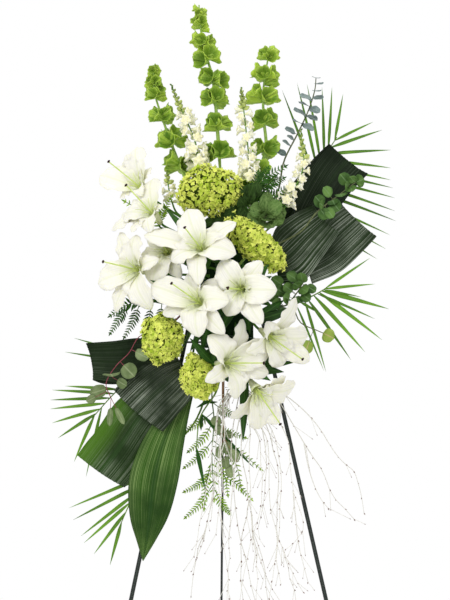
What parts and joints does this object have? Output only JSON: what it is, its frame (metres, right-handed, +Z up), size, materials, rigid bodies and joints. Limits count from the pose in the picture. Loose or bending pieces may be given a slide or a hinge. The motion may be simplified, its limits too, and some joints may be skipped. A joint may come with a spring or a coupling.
{
  "type": "standing funeral flower arrangement",
  "caption": "Standing spray of white lilies, green spikes, hydrangea heads, folded leaves, palm, fern and hanging twigs in a foam block on a folding three-legged wire easel.",
  "frame": {"origin": "on the floor, under the middle of the whole part's box", "axes": "+Z up, the flowers and the two front legs face -Y, +X to the right as seen from the front"},
  "size_m": [0.8622, 0.5986, 1.8114],
  "materials": {
    "green_metal": "satin",
    "tie_wire": "matte",
    "tray_plastic": "satin",
    "wet_foam": "matte, porous",
    "lily_petal": "soft, waxy",
    "lily_green": "fresh green stem",
    "hydrangea_petal": "soft, matte",
    "snapdragon_cream": "soft, matte",
    "bell_green": "soft, translucent",
    "eucalyptus_blue": "matte, waxy bloom",
    "eucalyptus_green": "matte, waxy bloom",
    "aspidistra_leaf": "glossy, fine parallel veins",
    "palm_leaf": "satin",
    "fern_leaf": "matte",
    "pale_twig": "smooth bark"
  },
  "bodies": {
    "arrangement": {"easel_front_frame": "green_metal", "wire_tie_upper": "tie_wire", "wire_tie_lower": "tie_wire", "foam_tray": "tray_plastic", "foam_block": "wet_foam", "lily_a_bloom": "lily_petal", "lily_b_bloom": "lily_petal", "lily_c_bloom": "lily_petal", "lily_d_bloom": "lily_petal", "lily_e_bloom": "lily_petal", "lily_f_bloom": "lily_petal", "lily_g_bloom": "lily_petal", "lily_h_bloom": "lily_petal", "lily_i_bloom": "lily_petal", "lily_j_bloom": "lily_petal", "lily_a_stem": "lily_green", "lily_b_stem": "lily_green", "lily_c_stem": "lily_green", "lily_d_stem": "lily_green", "lily_e_stem": "lily_green", "lily_f_stem": "lily_green", "lily_g_stem": "lily_green", "lily_h_stem": "lily_green", "lily_i_stem": "lily_green", "lily_j_stem": "lily_green", "hydrangea_upper": "hydrangea_petal", "hydrangea_right": "hydrangea_petal", "hydrangea_left": "hydrangea_petal", "hydrangea_lower": "hydrangea_petal", "snapdragon_left": "snapdragon_cream", "snapdragon_middle": "snapdragon_cream", "snapdragon_right": "snapdragon_cream", "snapdragon_small": "snapdragon_cream", "bells_of_ireland_left": "bell_green", "bells_of_ireland_middle": "bell_green", "bells_of_ireland_right": "bell_green", "eucalyptus_blue_top": "eucalyptus_blue", "eucalyptus_green_right": "eucalyptus_green", "eucalyptus_rosette": "eucalyptus_green", "eucalyptus_right_side": "eucalyptus_green", "eucalyptus_red_left": "eucalyptus_green", "eucalyptus_hanging": "eucalyptus_green", "aspidistra_top_right": "aspidistra_leaf", "aspidistra_right_back": "aspidistra_leaf", "aspidistra_right_front": "aspidistra_leaf", "aspidistra_left_back": "aspidistra_leaf", "aspidistra_left_front": "aspidistra_leaf", "aspidistra_left_low": "aspidistra_leaf", "aspidistra_hanging": "aspidistra_leaf", "palm_upper_right": "palm_leaf", "palm_lower_right": "palm_leaf", "palm_left": "palm_leaf", "palm_lower_left": "palm_leaf", "palm_straps": "palm_leaf", "fern_upper_left": "fern_leaf", "fern_left": "fern_leaf", "fern_top_middle": "fern_leaf", "fern_hanging": "fern_leaf", "hanging_twigs": "pale_twig"},
    "rear_leg": {"easel_rear_leg": "green_metal"}
  },
  "joints": [
    {"name": "rear_leg_fold", "type": "hinge", "parent": "arrangement", "child": "rear_leg", "pos_m": [0.00411, 0.04627, 1.36], "axis": [1, 0, 0], "range_deg": [-15, 0]}
  ]
}
